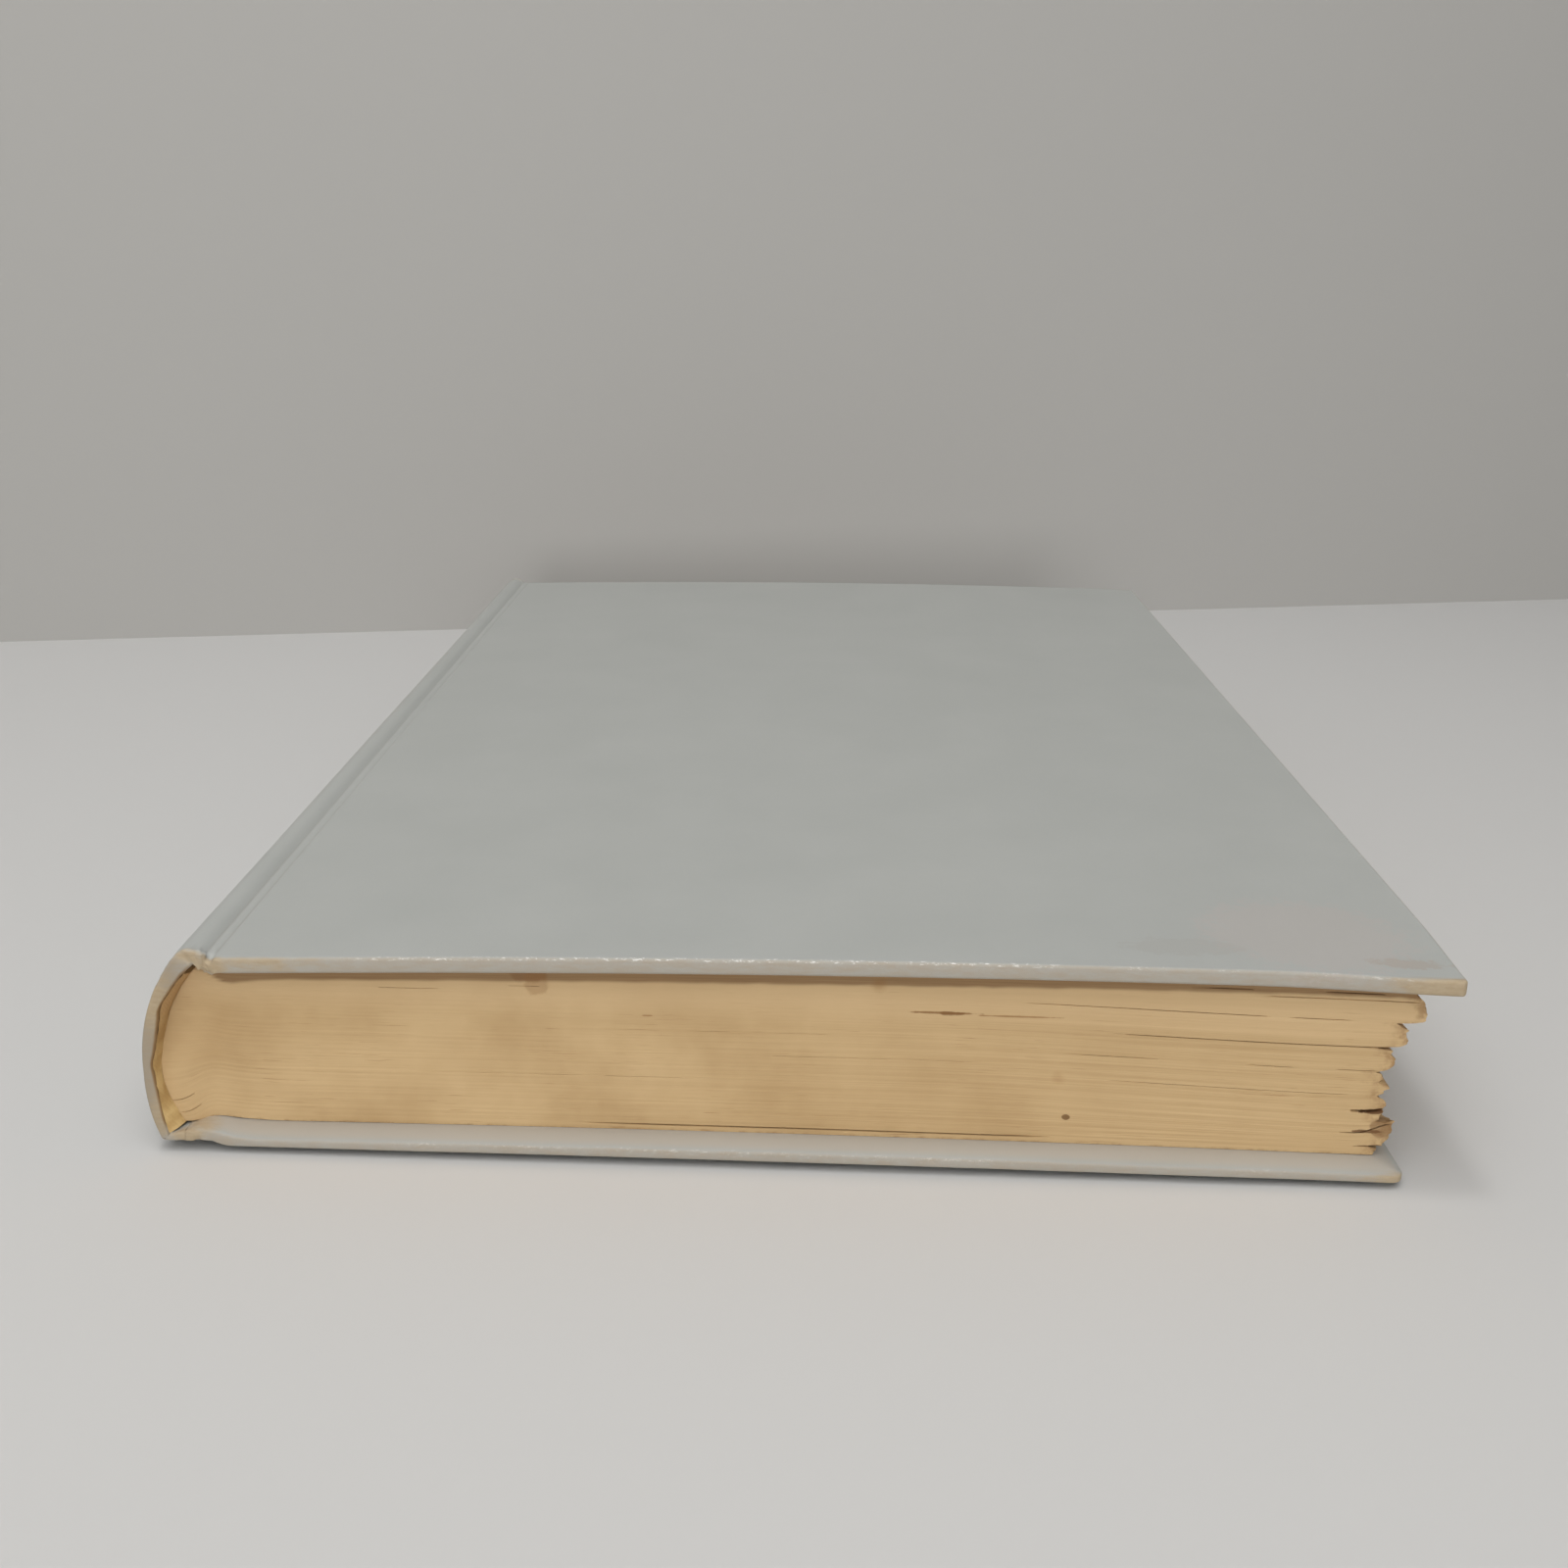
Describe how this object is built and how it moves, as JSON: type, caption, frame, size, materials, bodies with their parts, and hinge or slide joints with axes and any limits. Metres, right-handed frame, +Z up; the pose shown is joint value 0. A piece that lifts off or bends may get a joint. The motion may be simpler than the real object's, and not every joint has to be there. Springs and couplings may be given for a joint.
{
  "type": "hardcover book",
  "caption": "Closed hardcover book with a plain paper-covered case, rounded spine, worn joints and an uncut fore-edge; both covers open on the joints.",
  "frame": {"origin": "on the table under the middle of the closed book's bounding box", "axes": "+X from the spine to the fore-edge, +Y from tail to head, +Z up through the front cover"},
  "size_m": [0.1608, 0.235, 0.0284],
  "materials": {
    "leaves": "matte",
    "endpaper": "matte",
    "covering": "satin",
    "board": "matte",
    "band": "matte",
    "mull": "matte",
    "kraft": "matte"
  },
  "bodies": {
    "text_block": {"text_block": "leaves", "front_flyleaf": "endpaper", "back_flyleaf": "endpaper", "mull": "mull", "spine_lining": "kraft", "tail_band": "band", "head_band": "band", "spine_card": "board", "spine_covering": "covering"},
    "front_cover": {"front_board": "board", "front_covering": "covering", "front_pastedown": "endpaper"},
    "back_cover": {"back_board": "board", "back_covering": "covering", "back_pastedown": "endpaper"}
  },
  "joints": [
    {"name": "front_joint", "type": "hinge", "parent": "text_block", "child": "front_cover", "pos_m": [-0.07141, 0, 0.0271], "axis": [0, -1, 0], "range_deg": [0, 180]},
    {"name": "back_joint", "type": "hinge", "parent": "text_block", "child": "back_cover", "pos_m": [-0.07641, 0, 0.00112], "axis": [0, 1, 0], "range_deg": [0, 180]}
  ]
}
